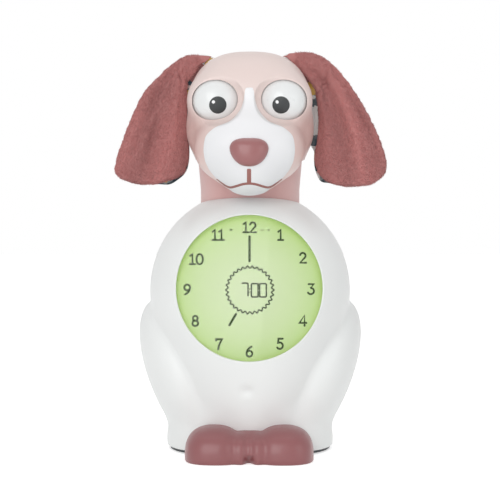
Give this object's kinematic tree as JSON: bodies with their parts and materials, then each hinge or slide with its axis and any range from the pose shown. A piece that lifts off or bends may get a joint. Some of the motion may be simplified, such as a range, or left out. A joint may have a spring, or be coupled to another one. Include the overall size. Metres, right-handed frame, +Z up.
{
  "type": "alarm clock",
  "caption": "Sitting puppy alarm clock and night light with a round lit dial in its chest, a rising head and rolling eyelids.",
  "frame": {"origin": "middle of the bounding box's bottom face, on the surface it stands on", "axes": "+Z up, the puppy faces -Y, +X is the puppy's left"},
  "size_m": [0.1596, 0.12, 0.2303],
  "materials": {
    "white_shell": "satin",
    "pink_shell": "satin",
    "white_mask": "satin",
    "rose_gloss": "gloss",
    "rose_neck": "satin",
    "rose_plush": "short pile",
    "print_cotton": "printed woven cotton",
    "eye_white": "gloss",
    "pupil_grey": "gloss",
    "clear_lens": "clear gloss",
    "lcd_green": "matt film",
    "diffuser": "frosted",
    "tray_white": "matt",
    "board_green": "solder mask",
    "board_white": "solder mask",
    "chip_black": "matt",
    "lamp_yellow": "resin",
    "dark_grey": "fine texture",
    "rubber_black": "matt",
    "abs_grey": "fine texture",
    "acetal": "satin",
    "steel": "bright",
    "motor_can": "bright",
    "cell_sleeve": "sleeve",
    "button_white": "satin",
    "button_green": "satin",
    "button_yellow": "satin",
    "speaker_grey": "satin",
    "speaker_paper": "paper"
  },
  "bodies": {
    "housing": {"front_shell": "white_shell", "rear_shell": "white_shell", "base_plate": "dark_grey", "rubber_feet": "rubber_black", "front_paws": "rose_gloss", "display_lens": "clear_lens", "lens_gasket": "rubber_black", "lcd_panel": "lcd_green", "light_guide": "diffuser", "reflector_tray": "tray_white", "lamp_board": "board_white", "backlight_lamps": "lamp_yellow", "main_board": "board_green", "board_chips": "chip_black", "display_screws": "steel", "chassis": "abs_grey", "aa_cells": "cell_sleeve", "battery_springs": "steel", "battery_tabs": "steel", "base_screws": "steel", "body_screws": "steel", "control_panel": "abs_grey", "panel_screws": "steel", "button_board": "board_green", "button_switches": "chip_black", "power_socket": "chip_black", "speaker_frame": "speaker_grey", "speaker_cone": "speaker_paper", "speaker_magnet": "speaker_grey", "guide_rods": "steel", "lift_motor": "motor_can", "eye_rack": "acetal"},
    "head": {"neck_tube": "rose_neck", "lift_platform": "abs_grey", "lift_rack": "acetal", "head_frame": "abs_grey", "head_screws": "steel", "face_shell": "pink_shell", "head_rear_shell": "pink_shell", "muzzle_mask": "white_mask", "nose": "rose_gloss", "ear_clips": "abs_grey", "ear_plush": "rose_plush", "ear_lining": "print_cotton"},
    "eyes": {"eye_axle": "steel", "eye_pinion": "acetal", "eyeballs": "eye_white", "eyelids": "pink_shell", "pupils": "pupil_grey"},
    "lift_shaft": {"lift_gear": "acetal"},
    "motor_shaft": {"motor_pinion": "acetal"},
    "door": {"battery_door": "dark_grey", "door_screw": "steel"},
    "slider": {"power_slider": "dark_grey"},
    "button_set_body": {"button_set": "button_green"},
    "button_mode_body": {"button_mode": "button_white"},
    "button_up_body": {"button_up": "button_white"},
    "button_down_body": {"button_down": "button_white"},
    "button_light_body": {"button_light": "button_yellow"},
    "button_sound_body": {"button_sound": "button_white"}
  },
  "joints": [
    {"name": "head_lift", "type": "slide", "parent": "housing", "child": "head", "axis": [0, 0, 1], "range_m": [-0.01, 0]},
    {"name": "eyes_roll", "type": "hinge", "parent": "head", "child": "eyes", "pos_m": [0, -0.018, 0.2003], "axis": [1, 0, 0], "range_deg": [-1, 102.86]},
    {"name": "lift_shaft_turn", "type": "hinge", "parent": "housing", "child": "lift_shaft", "pos_m": [0, 0.024, 0.104], "axis": [1, 0, 0], "range_deg": [-1, 96.49]},
    {"name": "motor_shaft_turn", "type": "hinge", "parent": "housing", "child": "motor_shaft", "pos_m": [0, 0.03053, 0.0927], "axis": [1, 0, 0], "range_deg": [-320.31, 2]},
    {"name": "battery_door_release", "type": "slide", "parent": "housing", "child": "door", "axis": [0, 0, -1], "range_m": [0, 0.02]},
    {"name": "power_slide", "type": "slide", "parent": "housing", "child": "slider", "axis": [1, 0, 0], "range_m": [0, 0.004]},
    {"name": "press_set", "type": "slide", "parent": "housing", "child": "button_set_body", "axis": [0, -1, 0], "range_m": [0, 0.001], "stiffness_N_per_m": 800, "springref_m": -0.0005},
    {"name": "press_mode", "type": "slide", "parent": "housing", "child": "button_mode_body", "axis": [0, -1, 0], "range_m": [0, 0.001], "stiffness_N_per_m": 800, "springref_m": -0.0005},
    {"name": "press_up", "type": "slide", "parent": "housing", "child": "button_up_body", "axis": [0, -1, 0], "range_m": [0, 0.001], "stiffness_N_per_m": 800, "springref_m": -0.0005},
    {"name": "press_down", "type": "slide", "parent": "housing", "child": "button_down_body", "axis": [0, -1, 0], "range_m": [0, 0.001], "stiffness_N_per_m": 800, "springref_m": -0.0005},
    {"name": "press_light", "type": "slide", "parent": "housing", "child": "button_light_body", "axis": [0, -1, 0], "range_m": [0, 0.001], "stiffness_N_per_m": 800, "springref_m": -0.0005},
    {"name": "press_sound", "type": "slide", "parent": "housing", "child": "button_sound_body", "axis": [0, -1, 0], "range_m": [0, 0.001], "stiffness_N_per_m": 800, "springref_m": -0.0005}
  ],
  "couplings": [
    {"joint": "eyes_roll", "follows": "head_lift", "rad_per_m": -177.78},
    {"joint": "lift_shaft_turn", "follows": "head_lift", "rad_per_m": -166.67},
    {"joint": "motor_shaft_turn", "follows": "head_lift", "rad_per_m": 555.56}
  ]
}
